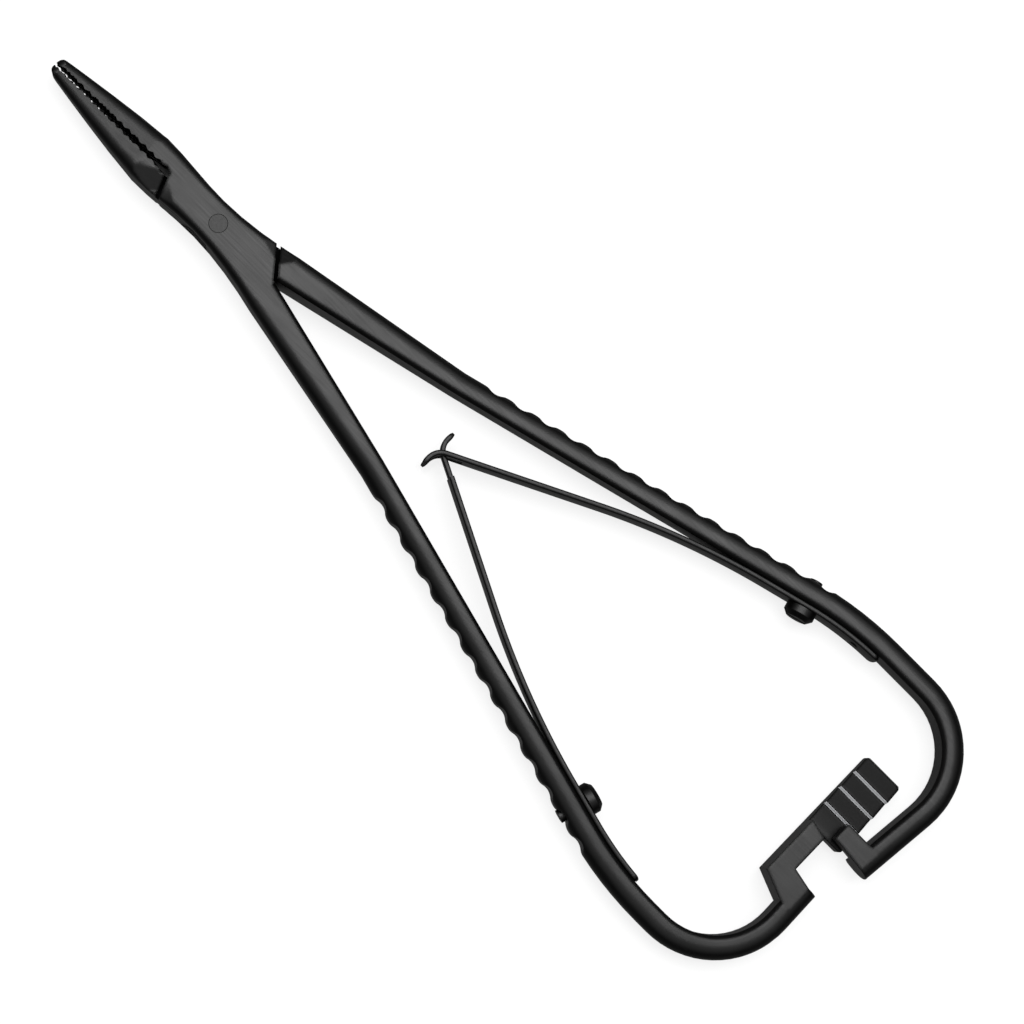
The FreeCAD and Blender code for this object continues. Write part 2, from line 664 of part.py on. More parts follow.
def build_spring(name, lever):
    """Leaf spring: it lies on the handle, leaves it and crosses the middle, and its tip is curled."""
    body = new_body(name)
    turn, tail_x, tail_y = lever.seat(lever.tail_x, "(spring_seat + spring_thick / 2)")
    tail = new_sketch(body, "tail_section", "YZ_Plane",
                      f"placement(vector({lever.side} * {tail_y}; 0; {tail_x}); "
                      f"rotation(0; {-lever.side} * {turn}; 0))")
    draw(tail, [("-spring_thick / 2", "-spring_wide / 2"), ("spring_thick / 2", "-spring_wide / 2"),
                ("spring_thick / 2", "spring_wide / 2"), ("-spring_thick / 2", "spring_wide / 2")])
    on_face = "(bow_round - handle_wide - spring_seat - spring_thick / 2)"
    tangent_x = f"(-{lever.apex_x} + {on_face} * sin(grip_turn))"
    tangent_y = f"(bow_half - bow_round + {on_face} * cos(grip_turn))"
    lift_x = f"({tangent_x} + spring_flat)"
    lift_y = f"({tangent_y} - spring_flat * tan(grip_turn))"
    # The free run goes straight to the crossing, and an arc joins it to the run on the handle.
    corner_x = (f"(({lift_y} + {lift_x} * tan(grip_turn) + cross_x * tan(spring_turn))"
                " / (tan(grip_turn) - tan(spring_turn)))")
    tangent = f"(({corner_x} - {lift_x}) / cos(grip_turn))"
    bend = f"({tangent} / tan((spring_turn - grip_turn) / 2))"
    level_x = f"({corner_x} + {tangent} * cos(spring_turn))"
    level_y = f"((-cross_x - {level_x}) * tan(spring_turn))"
    curl_x = "(-cross_x - curl_before * cos(spring_turn))"
    curl_y = "(curl_before * sin(spring_turn))"
    bent_x = f"({curl_x} + curl_round * (sin(spring_turn + curl_turn) - sin(spring_turn)))"
    bent_y = f"({curl_y} - curl_round * (cos(spring_turn) - cos(spring_turn + curl_turn)))"
    end_x = f"({bent_x} + curl_tip * cos(spring_turn + curl_turn))"
    end_y = f"({bent_y} - curl_tip * sin(spring_turn + curl_turn))"
    path = new_sketch(body, "path", "XY_Plane")
    draw(path, [
        (tail_x, tail_y, on_face, -1),
        (tangent_x, tangent_y),
        (lift_x, lift_y, bend, -1),
        (level_x, level_y),
        (curl_x, curl_y, "curl_round", -1),
        (bent_x, bent_y),
        (end_x, end_y),
    ], lever.flip, closed=False)
    feature(body, "AdditivePipe", "strip", tail, Spine=(path, []))
    lever.peg_hole(body, "screw_hole", lever.screw_x, "(screw_wide + 2 * screw_clear)", "margin")
    lever.peg_hole(body, "stud_hole", lever.stud_x, "(stud_wide + 2 * screw_clear)", "margin")
    return body


def tip_side(before):
    """Outline of all that lies past a line square to the spring, a distance before the crossing."""
    at_x = f"(-cross_x - {before} * cos(spring_turn))"
    at_y = f"({before} * sin(spring_turn))"
    side_x = "(grip_in * sin(spring_turn))"
    side_y = "(grip_in * cos(spring_turn))"
    ahead_x = "(2 * grip_in * cos(spring_turn))"
    ahead_y = "(-2 * grip_in * sin(spring_turn))"
    return [
        (f"{at_x} + {side_x}", f"{at_y} + {side_y}"),
        (f"{at_x} - {side_x}", f"{at_y} - {side_y}"),
        (f"{at_x} - {side_x} + {ahead_x}", f"{at_y} - {side_y} + {ahead_y}"),
        (f"{at_x} + {side_x} + {ahead_x}", f"{at_y} + {side_y} + {ahead_y}"),
    ]


def build_springs():
    """The two springs: one tip is a fork, and the other is a tongue that passes through it."""
    forked = build_spring("forked_spring", THROUGH)
    through(forked, "Pocket", "fork", tip_side("fork_start"), "fork_slot", THROUGH.flip)
    tongue = build_spring("tongue_spring", BOX)
    shoulder = slab(tongue, "Pocket", "shoulder", tip_side("tongue_start"), "tongue_wide / 2", "spring_wide")
    mirrored(tongue, "shoulders", shoulder)


def build_screw(name, lever):
    """Cheese-head screw through the spring and the handle. Z is 0 on the handle's inner face."""
    body = doc.addObject("PartDesign::Body", name)
    body.Label = name
    body.setExpression("Placement", linked(lever.square_to(lever.screw_x, "0", "box_thick / 2")))
    under = "(-(2 * spring_seat + spring_thick))"
    outline = new_sketch(body, "outline", "XZ_Plane")
    draw(outline, [
        ("0", f"{under} - head_high"),
        ("head_wide / 2 - head_bevel", f"{under} - head_high"),
        ("head_wide / 2", f"{under} - head_high + head_bevel"),
        ("head_wide / 2", under),
        ("screw_wide / 2", under),
        ("screw_wide / 2", "handle_wide - wave_deep + screw_proud"),
        ("0", "handle_wide - wave_deep + screw_proud"),
    ])
    feature(body, "Revolution", "turned", outline, ReferenceAxis=(outline, ["V_Axis"]), Angle=360)
    slot = new_sketch(body, "slot_outline", "XZ_Plane")
    draw(slot, [
        ("-slot_wide / 2", f"{under} - head_high - margin"),
        ("slot_wide / 2", f"{under} - head_high - margin"),
        ("slot_wide / 2", f"{under} - head_high + slot_deep"),
        ("-slot_wide / 2", f"{under} - head_high + slot_deep"),
    ])
    feature(body, "Pocket", "slot", slot, Length="head_wide + margin", SideType="Symmetric")


def build_stud(name, lever):
    """Stud that keeps the spring from turning on its screw."""
    body = doc.addObject("PartDesign::Body", name)
    body.Label = name
    body.setExpression("Placement", linked(lever.square_to(lever.stud_x, "0", "box_thick / 2")))
    top = "(-(spring_seat + spring_thick + stud_proud))"
    outline = new_sketch(body, "outline", "XZ_Plane")
    draw(outline, [
        ("0", top),
        ("stud_wide / 2 - stud_bevel", top),
        ("stud_wide / 2", f"{top} + stud_bevel"),
        ("stud_wide / 2", "stud_deep"),
        ("0", "stud_deep"),
    ])
    feature(body, "Revolution", "turned", outline, ReferenceAxis=(outline, ["V_Axis"]), Angle=360)


def finish():
    """Checks every object of the document and writes each named piece to its own file."""
    doc.recompute()
    broken = [item.Name for item in doc.Objects if {"Invalid", "Error"} & set(item.State)]
    if broken:
        raise RuntimeError(f"not built: {broken}")
    os.makedirs("parts", exist_ok=True)
    for piece in doc.Objects:
        if piece.TypeId != "PartDesign::Body":
            continue
        if piece.Shape.isNull() or not piece.Shape.isValid():
            raise RuntimeError(f"bad shape: {piece.Label}")
        piece.Shape.exportStep(f"parts/{piece.Label}.step")


build_box_lever()
build_through_lever()
build_pin()
build_springs()
build_screw("tongue_spring_screw", BOX)
build_screw("forked_spring_screw", THROUGH)
build_stud("tongue_spring_stud", BOX)
build_stud("forked_spring_stud", THROUGH)
finish()
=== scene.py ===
"""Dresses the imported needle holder: finished levers, leaf springs, fasteners, a floor, lamps and a camera.

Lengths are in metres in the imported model's own frame: X to the jaw tips, Y across and Z up.
"""
import math

import bmesh
import bpy
from bpy.props import FloatProperty, FloatVectorProperty, PointerProperty
from mathutils import Matrix, Vector


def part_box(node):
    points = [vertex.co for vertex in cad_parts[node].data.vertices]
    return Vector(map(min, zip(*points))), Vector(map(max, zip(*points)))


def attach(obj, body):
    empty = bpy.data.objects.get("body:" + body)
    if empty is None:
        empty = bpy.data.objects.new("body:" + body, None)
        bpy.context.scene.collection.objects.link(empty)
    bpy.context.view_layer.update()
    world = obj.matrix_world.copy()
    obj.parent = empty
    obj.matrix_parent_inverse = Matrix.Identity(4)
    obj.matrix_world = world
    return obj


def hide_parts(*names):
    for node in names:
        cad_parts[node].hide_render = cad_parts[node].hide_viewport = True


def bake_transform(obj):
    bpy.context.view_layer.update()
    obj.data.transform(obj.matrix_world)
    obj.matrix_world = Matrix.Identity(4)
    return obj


bl_info = {
    "name": "Needle holder",
    "version": (1, 0, 0),
    "blender": (4, 5, 0),
    "location": "3D View > Sidebar > Needle holder",
    "description": "Makes the pieces, finishes and stage of a locking surgical needle holder",
    "category": "Add Mesh",
}

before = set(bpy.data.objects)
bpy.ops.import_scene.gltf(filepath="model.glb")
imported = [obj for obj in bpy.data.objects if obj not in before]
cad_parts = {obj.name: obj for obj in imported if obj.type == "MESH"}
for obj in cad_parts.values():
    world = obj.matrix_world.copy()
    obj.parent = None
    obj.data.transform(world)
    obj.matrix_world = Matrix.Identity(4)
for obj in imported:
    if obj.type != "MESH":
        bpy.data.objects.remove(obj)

LEVERS = {"box_lever": "box_lever", "through_lever": "through_lever"}
FASTENERS = {
    "pivot_pin": ("box_lever", "pin_steel"),
    "tongue_spring_screw": ("box_lever", "screw_steel"),
    "tongue_spring_stud": ("box_lever", "screw_steel"),
    "forked_spring_screw": ("through_lever", "screw_steel"),
    "forked_spring_stud": ("through_lever", "screw_steel"),
}
# Each spring's own lever, the other lever, and the side that it lies on: 1 at +Y and -1 at -Y.
SPRINGS = {
    "tongue_spring": ("box_lever", "through_lever", 1),
    "forked_spring": ("through_lever", "box_lever", -1),
}

# The coating's pattern: how much longer a grinding line is than its spacing, how far across the colour
# drifts and how far down and up, and the size of the grain, drawn coarse enough that it just shows.
LINE_STRETCH = 30
DRIFT_SIZE = 0.006
DRIFT_DOWN, DRIFT_UP = 0.82, 1.18
GRAIN_SIZE = 0.00008
# How far the roughness varies along the grinding lines, and how strong and deep the bumps are.
SMOOTHER, ROUGHER = 0.05, 0.07
LINE_BUMP, LINE_DEPTH = 0.16, 0.12
GRAIN_BUMP, GRAIN_DEPTH = 0.12, 0.00001
# A face points along an axis when its normal has more than this share along it.
FACING = 0.5
CROWN_SAMPLES = 6

# Corners of a forging nearer than this are one, and faces that turn less than this are one flat face.
WELD = 1e-6
FLAT = math.radians(0.4)
ROUND_STEPS = 2

# The springs: a step along the path, steps round a strip's edge, how far a tip reaches back into the
# strip, how much of the width an end loses at its tip (a share, before the square root is taken), a
# length past any strip's end, and the drill's sides and length.
STEP = 0.00025
EDGE_STEPS = 4
TIP_OVERLAP = 0.001
END_TAKEN = 0.7
PAST_END = 1.0
DRILL_SIDES = 48
DRILL_LONG = 0.004
LEAF_SHARP = math.radians(40)

# The stage: the middle of the picture, half the floor's side and how far it lies below the instrument.
MIDDLE = Vector((-0.0606, -0.00125, 0.0035))
FLOOR_HALF = 1.5
FLOOR_DROP = 0.00001
# Each lamp's name, place from the middle, two sides and share of the softbox's power.
LAMPS = (
    ("softbox_over", (0.08, -0.15, 0.73), 0.80, 0.40, 1.0),
    ("softbox_fill", (0.0, -0.60, 0.45), 0.60, 0.40, 0.12),
)
# The height, as the sine of its angle, at which the room's walls start to turn into the ceiling, and
# at which they have.
CEILING_FROM, CEILING_TO = 0.2, 0.85
SENSOR = 36


def linear(code):
    """The linear colour of an sRGB hex code, with full alpha."""
    parts = [int(code[start:start + 2], 16) / 255 for start in (1, 3, 5)]
    return [part / 12.92 if part <= 0.04045 else ((part + 0.055) / 1.055) ** 2.4 for part in parts] + [1.0]


class FinishSizes(bpy.types.PropertyGroup):
    """Colours and marks of the steel's finish, with painted highlight and painted shade on a few faces."""

    coat: FloatVectorProperty(
        name="Coat", description="Black satin coating of the levers", subtype="COLOR", size=4,
        min=0, max=1, default=linear("#292929"))
    # Painted highlight: the ratchet's steep faces in the next box are coloured near white in place of the
    # light that they catch.
    ratchet_painted_highlight: FloatVectorProperty(
        name="Bare steel", description="Steel that shows on the ratchet's filed steep faces",
        subtype="COLOR", size=4, min=0, max=1, default=linear("#e0e1e3"))
    highlight_low: FloatVectorProperty(
        name="Filed from", description="Low corner of the box that holds the filed faces",
        subtype="XYZ", unit="LENGTH", size=3, default=(-0.1320, -0.0132, 0.00262))
    highlight_high: FloatVectorProperty(
        name="Filed to", description="High corner of the box that holds the filed faces",
        subtype="XYZ", unit="LENGTH", size=3, default=(-0.1165, -0.0006, 0.00347))
    highlight_rough: FloatProperty(
        name="Filed roughness", description="Roughness of the filed faces", subtype="FACTOR",
        min=0, max=1, default=0.8)
    # Painted shade: the rack's lands in the next box are coloured a deeper black for the shade between the
    # teeth and under the pawl.
    land_low: FloatVectorProperty(
        name="Lands from", description="Low corner of the box that holds the rack's lands",
        subtype="XYZ", unit="LENGTH", size=3, default=(-0.1320, -0.0140, 0.0022))
    land_high: FloatVectorProperty(
        name="Lands to", description="High corner of the box that holds the rack's lands",
        subtype="XYZ", unit="LENGTH", size=3, default=(-0.1230, 0.0002, 0.0037))
    painted_land_shade: FloatVectorProperty(
        name="Lands", description="Deeper black of the rack's milled lands", subtype="COLOR", size=4,
        min=0, max=1, default=linear("#1c1c1c"))
    # Painted shade: the waist's face inside the box, in the next box, is coloured near black for the shade
    # in that recess.
    waist_low: FloatVectorProperty(
        name="Waist from", description="Low corner of the box that holds the waist's face",
        subtype="XYZ", unit="LENGTH", size=3, default=(-0.0150, -0.0060, 0.0045))
    waist_high: FloatVectorProperty(
        name="Waist to", description="High corner of the box that holds the waist's face",
        subtype="XYZ", unit="LENGTH", size=3, default=(0.0130, 0.0060, 0.0053))
    painted_waist_shade: FloatVectorProperty(
        name="Dull black", description="Unpolished black of the waist inside the box",
        subtype="COLOR", size=4, min=0, max=1, default=linear("#101011"))
    dull_rough: FloatProperty(
        name="Dull roughness", description="Roughness of the waist inside the box", subtype="FACTOR",
        min=0, max=1, default=0.85)
    leaf: FloatVectorProperty(
        name="Leaf", description="Coated strip of the leaf springs", subtype="COLOR", size=4,
        min=0, max=1, default=linear("#252525"))
    turned: FloatVectorProperty(
        name="Turned steel", description="Coated screws, studs and pin", subtype="COLOR", size=4,
        min=0, max=1, default=linear("#262626"))
    satin: FloatProperty(
        name="Satin roughness", description="Roughness of the satin coating", subtype="FACTOR",
        min=0, max=1, default=0.36)
    polish: FloatProperty(
        name="Polished edge",
        description="How far in from a forged edge the polishing has crowned the face",
        subtype="DISTANCE", unit="LENGTH", min=0, max=0.003, default=0.0007)
    heel: FloatProperty(
        name="Jaw heel", description="From the pivot to the heel of the jaws' toothed faces",
        subtype="DISTANCE", unit="LENGTH", min=0, max=0.05, default=0.0125)
    brow: FloatProperty(
        name="Jaw brow", description="How far out from the toothed faces a jaw's face stays flat",
        subtype="DISTANCE", unit="LENGTH", min=0, max=0.003, default=0.0010)
    grit: FloatProperty(
        name="Grinding line", description="Spacing of the fine grinding lines under the coating",
        subtype="DISTANCE", unit="LENGTH", min=0.00005, max=0.001, default=0.00025)


class EdgeSizes(bpy.types.PropertyGroup):
    """How far the forgings' edges are rounded off."""

    lever_round: FloatProperty(
        name="Lever edge", description="Width of the rounding on the levers' sharp edges",
        subtype="DISTANCE", unit="LENGTH", min=0.00001, max=0.0005, default=0.00012)
    small_round: FloatProperty(
        name="Small edge", description="Width of the rounding on the pin, the screws and the studs",
        subtype="DISTANCE", unit="LENGTH", min=0.00001, max=0.0003, default=0.00004)
    sharp_angle: FloatProperty(
        name="Sharp angle", description="Edges that turn more than this are rounded",
        subtype="ANGLE", unit="ROTATION", min=0.1, max=1.5, default=math.radians(32))


def length(name, description, size):
    """A length property in metres, from millimetres."""
    return FloatProperty(name=name, description=description, subtype="DISTANCE", unit="LENGTH", min=0,
                         max=1, precision=5, default=size / 1000)


def turn(name, description, degrees):
    """An angle property from degrees."""
    return FloatProperty(name=name, description=description, subtype="ANGLE", unit="ROTATION", min=0,
                         max=math.pi, default=math.radians(degrees))


class LeafSizes(bpy.types.PropertyGroup):
    """The leaf springs and the run of the handle's inner face that they are clamped to."""

    thick: length("Thickness", "Thickness of the strip", 0.8)
    wide: length("Width", "Width of the strip", 4.4)
    edge_round: length("Edge", "Radius of the strip's rounded edges", 0.28)
    seat: length("Seat", "Film of air between handle and strip", 0.04)
    apex_x: length("Widest point", "From the pivot back to where the handle's bow is widest", 115.765)
    bow_half: length("Bow half width", "From the middle out to the bow's outer side", 28.6)
    bow_round: length("Bow radius", "Radius of the bow's outer side", 58.0)
    bar: length("Bar", "Width of the handle's bar", 3.7)
    grip_turn: turn("Grip angle", "Slope of the grip", 14.75)
    flat: length("Straight seat", "Run on the straight grip, measured along the instrument", 7.0)
    free_turn: turn("Free angle", "Slope of the free run", 26.7)
    cross_x: length("Crossing", "From the pivot back to where the springs cross", 47.2)
    curl_before: length("Curl start", "Where the curl starts, before the crossing", 0.5)
    curl_round: length("Curl radius", "Radius of the curled tip", 2.6)
    curl_turn: turn("Curl angle", "How far the tip is curled", 65.0)
    curl_tip: length("Curl end", "Straight end of the curled tip", 1.1)
    end_taper: length("End taper", "Length over which each end is rounded off", 0.9)
    fork_start: length("Fork", "Where the fork's slot starts, before the crossing", 3.2)
    fork_slot: length("Fork slot", "Width of the fork's slot", 2.4)
    tongue_start: length("Tongue", "Where the tongue starts, before the crossing", 3.8)
    tongue_wide: length("Tongue width", "Width of the tongue", 1.8)
    box_tail: length("Box tail", "Tail of the box lever's spring, ahead of the widest point", 3.9)
    through_tail: length("Through tail", "Tail of the through lever's spring, ahead of that point", 0.8)
    stud_in: length("Stud", "From the tail to the stud, along the instrument", 4.2)
    screw_apart: length("Screw", "From the stud to the screw, along the instrument", 9.5)
    screw_hole: length("Screw hole", "Width of the screw's hole", 2.2)
    stud_hole: length("Stud hole", "Width of the stud's hole", 1.5)


class StageSizes(bpy.types.PropertyGroup):
    """Floor, lamps and camera."""

    paper: FloatVectorProperty(
        name="Paper", description="Pale floor that the instrument lies on", subtype="COLOR", size=4,
        min=0, max=1, default=linear("#fdfdfd"))
    glow: FloatProperty(
        name="Paper glow", description="Share of the paper's white that comes from the table below it",
        subtype="FACTOR", min=0, max=1, default=0.8)
    carded: FloatProperty(
        name="Paper in the steel", description="Brightness of the paper as the steel shows it",
        subtype="FACTOR", min=0, max=1, default=0.15)
    distance: FloatProperty(
        name="Camera distance", description="From the camera to the middle of the picture",
        subtype="DISTANCE", unit="LENGTH", min=0.1, max=2, default=0.370)
    width: FloatProperty(
        name="Picture width", description="What the picture spans at that distance",
        subtype="DISTANCE", unit="LENGTH", min=0.05, max=1, default=0.1522)
    turn: FloatProperty(
        name="Instrument turn", description="How far the instrument is turned in the picture",
        subtype="ANGLE", unit="ROTATION", min=0, max=3.2, default=math.radians(45.15))
    tilt: FloatProperty(
        name="Camera tilt", description="How far the camera leans from straight above",
        subtype="ANGLE", unit="ROTATION", min=0, max=1, default=math.radians(9.0))
    softbox: FloatProperty(
        name="Softbox power", description="Power of the lamp over the instrument", subtype="POWER",
        unit="POWER", min=0, max=20, default=6.4)
    tent: FloatProperty(
        name="Tent", description="Strength of the even light on the paper", min=0, max=4, default=0.52)
    room: FloatProperty(
        name="Room", description="Brightness of the walls as the steel shows them", min=0, max=4,
        default=0.05)
    wall: FloatProperty(
        name="Wall", description="Brightness of the wall behind the table", min=0, max=4, default=0.95)
    ceiling: FloatProperty(
        name="Ceiling", description="Brightness of the ceiling as the steel shows it", min=0, max=4,
        default=0.85)


def add_node(tree, kind, links=(), **settings):
    """Adds a node. Links are pairs of an input and the socket or value that goes to it."""
    node = tree.nodes.new(kind)
    for key, setting in settings.items():
        setattr(node, key, setting)
    for target, source in links:
        if isinstance(source, bpy.types.NodeSocket):
            tree.links.new(source, node.inputs[target])
        else:
            node.inputs[target].default_value = source
    return node


def face_zone(tree, place, low, high, axis):
    """A mask of the faces inside a box that are turned to one axis."""
    above = add_node(tree, "ShaderNodeVectorMath", [(0, place), (1, low)], operation="SUBTRACT")
    below = add_node(tree, "ShaderNodeVectorMath", [(0, high), (1, place)], operation="SUBTRACT")
    inside = add_node(tree, "ShaderNodeVectorMath", [
        (0, above.outputs["Vector"]), (1, below.outputs["Vector"])], operation="MINIMUM")
    parts = add_node(tree, "ShaderNodeSeparateXYZ", [("Vector", inside.outputs["Vector"])])
    least = parts.outputs["X"]
    for part in "YZ":
        least = add_node(tree, "ShaderNodeMath", [(0, least), (1, parts.outputs[part])],
                         operation="MINIMUM").outputs["Value"]
    within = add_node(tree, "ShaderNodeMath", [(0, least), (1, 0.0)], operation="GREATER_THAN")
    facing = add_node(tree, "ShaderNodeSeparateXYZ", [
        ("Vector", add_node(tree, "ShaderNodeTexCoord").outputs["Normal"])])
    turned = add_node(tree, "ShaderNodeMath", [(0, facing.outputs[axis]), (1, FACING)],
                      operation="GREATER_THAN")
    return add_node(tree, "ShaderNodeMath", [
        (0, within.outputs["Value"]), (1, turned.outputs["Value"])], operation="MULTIPLY").outputs["Value"]


def crowned_normal(tree, place, polish, ground, heel, brow):
    """The normal of a face that the polishing wheel has crowned, out to a reach from its edges, which
    makes its sheen fall off softly. It stays flat out to the ground radius from the pivot, where the
    pin was ground flush with it, and beside the jaws' toothed faces, which are cut last."""
    crowned = add_node(tree, "ShaderNodeBevel", [("Radius", polish)], samples=CROWN_SAMPLES)
    level = add_node(tree, "ShaderNodeVectorMath", [(0, place), (1, (1.0, 1.0, 0.0))],
                     operation="MULTIPLY")
    apart = add_node(tree, "ShaderNodeVectorMath", [(0, level.outputs["Vector"])], operation="LENGTH")
    past = add_node(tree, "ShaderNodeMath", [(0, apart.outputs["Value"]), (1, ground)],
                    operation="GREATER_THAN")
    parts = add_node(tree, "ShaderNodeSeparateXYZ", [("Vector", place)])
    side = add_node(tree, "ShaderNodeMath", [(0, parts.outputs["Y"])], operation="ABSOLUTE")
    beside = add_node(tree, "ShaderNodeMath", [(0, side.outputs["Value"]), (1, brow)], operation="LESS_THAN")
    ahead = add_node(tree, "ShaderNodeMath", [(0, parts.outputs["X"]), (1, heel)], operation="GREATER_THAN")
    jaw = add_node(tree, "ShaderNodeMath", [
        (0, beside.outputs["Value"]), (1, ahead.outputs["Value"])], operation="MULTIPLY")
    share = add_node(tree, "ShaderNodeMath", [
        (0, past.outputs["Value"]), (1, jaw.outputs["Value"])], operation="SUBTRACT")
    flat = add_node(tree, "ShaderNodeNewGeometry")
    return add_node(tree, "ShaderNodeMix", [
        (0, share.outputs["Value"]), (4, flat.outputs["Normal"]), (5, crowned.outputs["Normal"])],
        data_type="VECTOR").outputs[1]


def coated_steel(name, colour, rough, grit, along, zones=(), crown=None):
    """Stainless steel, ground along its length and coated satin black. The eye sees a dark grey
    sheen on flat faces, near black where they turn away, and fine lines along the grinding. A zone
    is a mask's box and axis with a colour and a roughness of its own. The crown's sizes are those of
    crowned_normal."""
    material = bpy.data.materials.new(name)
    material.use_nodes = True
    tree = material.node_tree
    tree.nodes.clear()
    place = add_node(tree, "ShaderNodeTexCoord").outputs["Object"]
    # Grinding lines: noise that changes once per line across them and much slower along them.
    across = 1 / grit
    scale = [across / LINE_STRETCH if axis == along else across for axis in "XYZ"]
    stretched = add_node(tree, "ShaderNodeMapping", [("Vector", place), ("Scale", scale)])
    lines = add_node(tree, "ShaderNodeTexNoise", [
        ("Vector", stretched.outputs["Vector"]), ("Scale", 1.0), ("Detail", 3.0), ("Roughness", 0.6)])
    # The coating's colour drifts a little, as sprayed or vapour coated steel does.
    drift = add_node(tree, "ShaderNodeTexNoise", [
        ("Vector", place), ("Scale", 1 / DRIFT_SIZE), ("Detail", 4.0), ("Roughness", 0.5)])
    grain = add_node(tree, "ShaderNodeTexNoise", [
        ("Vector", place), ("Scale", 1 / GRAIN_SIZE), ("Detail", 2.0), ("Roughness", 0.5)])
    darker = [part * DRIFT_DOWN for part in colour[:3]] + [1.0]
    lighter = [min(part * DRIFT_UP, 1.0) for part in colour[:3]] + [1.0]
    mixed = add_node(tree, "ShaderNodeMix", [
        (0, drift.outputs["Fac"]), (6, darker), (7, lighter)], data_type="RGBA")
    rougher = add_node(tree, "ShaderNodeMapRange", [
        ("Value", lines.outputs["Fac"]), ("From Min", 0.3), ("From Max", 0.7),
        ("To Min", rough - SMOOTHER), ("To Max", rough + ROUGHER)])
    line_bump = add_node(tree, "ShaderNodeBump", [
        ("Height", lines.outputs["Fac"]), ("Strength", LINE_BUMP), ("Distance", grit * LINE_DEPTH)])
    if crown:
        tree.links.new(crowned_normal(tree, place, *crown), line_bump.inputs["Normal"])
    bump = add_node(tree, "ShaderNodeBump", [
        ("Height", grain.outputs["Fac"]), ("Strength", GRAIN_BUMP), ("Distance", GRAIN_DEPTH),
        ("Normal", line_bump.outputs["Normal"])])
    shade, roughness = mixed.outputs[2], rougher.outputs["Result"]
    # Each zone paints its own colour over its faces; on the levers these are painted highlight and painted
    # shade.
    for low, high, axis, other, other_rough in zones:
        mask = face_zone(tree, place, low, high, axis)
        shade = add_node(tree, "ShaderNodeMix", [(0, mask), (6, shade), (7, list(other))],
                         data_type="RGBA").outputs[2]
        roughness = add_node(tree, "ShaderNodeMapRange", [
            ("Value", mask), ("To Min", roughness), ("To Max", other_rough)]).outputs["Result"]
    shader = add_node(tree, "ShaderNodeBsdfPrincipled", [
        ("Base Color", shade), ("Metallic", 1.0), ("Roughness", roughness),
        ("Normal", bump.outputs["Normal"])])
    add_node(tree, "ShaderNodeOutputMaterial", [("Surface", shader.outputs["BSDF"])])
    return material


def finished_copy(node, material, width, angle):
    """A welded copy of a node with its flat faces joined and its sharp edges rounded off."""
    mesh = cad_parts[node].data.copy()
    mesh.name = f"{node}_finished"
    shape = bmesh.new()
    shape.from_mesh(mesh)
    bmesh.ops.remove_doubles(shape, verts=shape.verts, dist=WELD)
    bmesh.ops.dissolve_limit(shape, angle_limit=FLAT, verts=shape.verts, edges=shape.edges)
    shape.to_mesh(mesh)
    shape.free()
    piece = bpy.data.objects.new(f"{node}_finished", mesh)
    bpy.context.scene.collection.objects.link(piece)
    mesh.materials.clear()
    mesh.materials.append(material)
    rounding = piece.modifiers.new("edge_round", "BEVEL")
    rounding.width = width
    rounding.segments = ROUND_STEPS
    rounding.limit_method = "ANGLE"
    rounding.angle_limit = angle
    rounding.use_clamp_overlap = True
    # Large flat faces keep their own normal, so that they reflect evenly right up to their edges.
    weighting = piece.modifiers.new("even_faces", "WEIGHTED_NORMAL")
    weighting.mode = "FACE_AREA"
    weighting.weight = 50
    weighting.keep_sharp = True
    for face in mesh.polygons:
        face.use_smooth = True
    mesh.set_sharp_from_angle(angle=angle)
    bpy.context.view_layer.update()
    made = bpy.data.meshes.new_from_object(piece.evaluated_get(bpy.context.evaluated_depsgraph_get()))
    piece.modifiers.clear()
    piece.data = made
    made.name = f"{node}_finished"
    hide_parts(node)
    return piece


